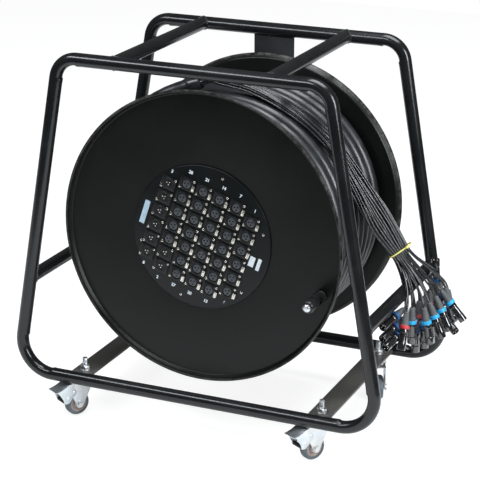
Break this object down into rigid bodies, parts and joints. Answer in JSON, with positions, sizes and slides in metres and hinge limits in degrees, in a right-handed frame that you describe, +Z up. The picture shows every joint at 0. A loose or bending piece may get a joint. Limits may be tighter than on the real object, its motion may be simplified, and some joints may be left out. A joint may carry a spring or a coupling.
{
  "type": "multicore cable drum",
  "caption": "Stage multicore wound on a steel reel that turns in a wheeled tube frame, with a connector panel in its front flange, a crank grip and tied tails with plugs.",
  "frame": {"origin": "on the floor, under the middle of the object without its tails", "axes": "+Z up, the connector panel faces -Y, X runs along the front of the frame and the tails hang at +X"},
  "size_m": [0.8394, 0.4488, 0.751],
  "materials": {
    "black_tube": "satin black powder coat",
    "black_sheet": "matt black powder coat",
    "panel_black": "fine satin black",
    "connector_black": "black coated die casting",
    "zinc": "bright zinc plated",
    "steel": "machined steel",
    "grey_tyre": "grey rubber",
    "cable_black": "satin black sheath",
    "black_plastic": "black moulding",
    "pale_yellow": "pale yellow tie"
  },
  "bodies": {
    "frame": {"front_loop": "black_tube", "back_loop": "black_tube", "top_crossbar_left": "black_tube", "top_crossbar_right": "black_tube", "side_tube_left": "black_tube", "side_tube_right": "black_tube", "caster_bar_left": "black_sheet", "caster_bar_right": "black_sheet", "axle_post": "black_sheet", "drum_axle": "steel", "axle_nut": "zinc", "caster_stem_front_left": "zinc", "caster_stem_front_right": "zinc", "caster_stem_back_left": "zinc", "caster_stem_back_right": "zinc", "tail_ribbon": "cable_black", "cable_tie": "pale_yellow", "tail_fan": "cable_black", "tail_plug_1": "black_plastic", "tail_plug_2": "black_plastic", "tail_plug_3": "black_plastic", "tail_plug_4": "black_plastic", "tail_plug_5": "black_plastic", "tail_plug_6": "black_plastic", "plug_cluster": "black_plastic"},
    "drum": {"bearing_housing": "steel", "rear_bearing": "steel", "front_bearing": "steel", "front_flange": "black_sheet", "back_flange": "black_sheet", "drum_core": "black_sheet", "connector_panel": "panel_black", "socket_column_2": "connector_black", "socket_column_3": "connector_black", "socket_column_4": "connector_black", "socket_column_5": "connector_black", "socket_column_6": "connector_black", "male_connector_1": "connector_black", "male_connector_2": "connector_black", "male_connector_3": "connector_black", "male_connector_4": "connector_black", "male_connector_5": "connector_black", "male_connector_6": "connector_black", "male_connector_7": "connector_black", "male_connector_8": "connector_black", "crank_bolt": "zinc", "cable_core": "cable_black", "cable_winding": "cable_black", "breakout_sleeve": "cable_black"},
    "grip": {"crank_grip": "black_plastic"},
    "fork_front_left": {"caster_fork_front_left": "zinc"},
    "fork_front_right": {"caster_fork_front_right": "zinc"},
    "fork_back_left": {"caster_fork_back_left": "zinc"},
    "fork_back_right": {"caster_fork_back_right": "zinc"},
    "wheel_front_left": {"caster_wheel_front_left": "grey_tyre"},
    "wheel_front_right": {"caster_wheel_front_right": "grey_tyre"},
    "wheel_back_left": {"caster_wheel_back_left": "grey_tyre"},
    "wheel_back_right": {"caster_wheel_back_right": "grey_tyre"},
    "pedal_front_left": {"brake_pedal_front_left": "zinc"},
    "pedal_front_right": {"brake_pedal_front_right": "zinc"}
  },
  "joints": [
    {"name": "drum_spin", "type": "hinge", "parent": "frame", "child": "drum", "pos_m": [0, 0.01056, 0.404], "axis": [0, -1, 0], "continuous": true, "deforming": ["tail_ribbon"]},
    {"name": "grip_spin", "type": "hinge", "parent": "drum", "child": "grip", "pos_m": [0.24403, -0.17727, 0.32149], "axis": [0, 1, 0], "continuous": true},
    {"name": "swivel_front_left", "type": "hinge", "parent": "frame", "child": "fork_front_left", "pos_m": [-0.255, -0.15024, 0.07], "axis": [0, 0, 1], "continuous": true},
    {"name": "swivel_front_right", "type": "hinge", "parent": "frame", "child": "fork_front_right", "pos_m": [0.255, -0.15024, 0.07], "axis": [0, 0, 1], "continuous": true},
    {"name": "swivel_back_left", "type": "hinge", "parent": "frame", "child": "fork_back_left", "pos_m": [-0.255, 0.17136, 0.07], "axis": [0, 0, 1], "continuous": true},
    {"name": "swivel_back_right", "type": "hinge", "parent": "frame", "child": "fork_back_right", "pos_m": [0.255, 0.17136, 0.07], "axis": [0, 0, 1], "continuous": true},
    {"name": "spin_front_left", "type": "hinge", "parent": "fork_front_left", "child": "wheel_front_left", "pos_m": [-0.26646, -0.16902, 0.025], "axis": [0.8536, -0.521, 0], "continuous": true},
    {"name": "spin_front_right", "type": "hinge", "parent": "fork_front_right", "child": "wheel_front_right", "pos_m": [0.24354, -0.16902, 0.025], "axis": [0.8536, -0.521, 0], "continuous": true},
    {"name": "spin_back_left", "type": "hinge", "parent": "fork_back_left", "child": "wheel_back_left", "pos_m": [-0.24619, 0.1512, 0.025], "axis": [0.9164, 0.4003, 0], "continuous": true},
    {"name": "spin_back_right", "type": "hinge", "parent": "fork_back_right", "child": "wheel_back_right", "pos_m": [0.26381, 0.1512, 0.025], "axis": [0.9164, 0.4003, 0], "continuous": true},
    {"name": "brake_front_left", "type": "hinge", "parent": "fork_front_left", "child": "pedal_front_left", "pos_m": [-0.27376, -0.18097, 0.055], "axis": [0.8536, -0.521, 0], "range_deg": [0, 12]},
    {"name": "brake_front_right", "type": "hinge", "parent": "fork_front_right", "child": "pedal_front_right", "pos_m": [0.23624, -0.18097, 0.055], "axis": [0.8536, -0.521, 0], "range_deg": [0, 12]}
  ]
}
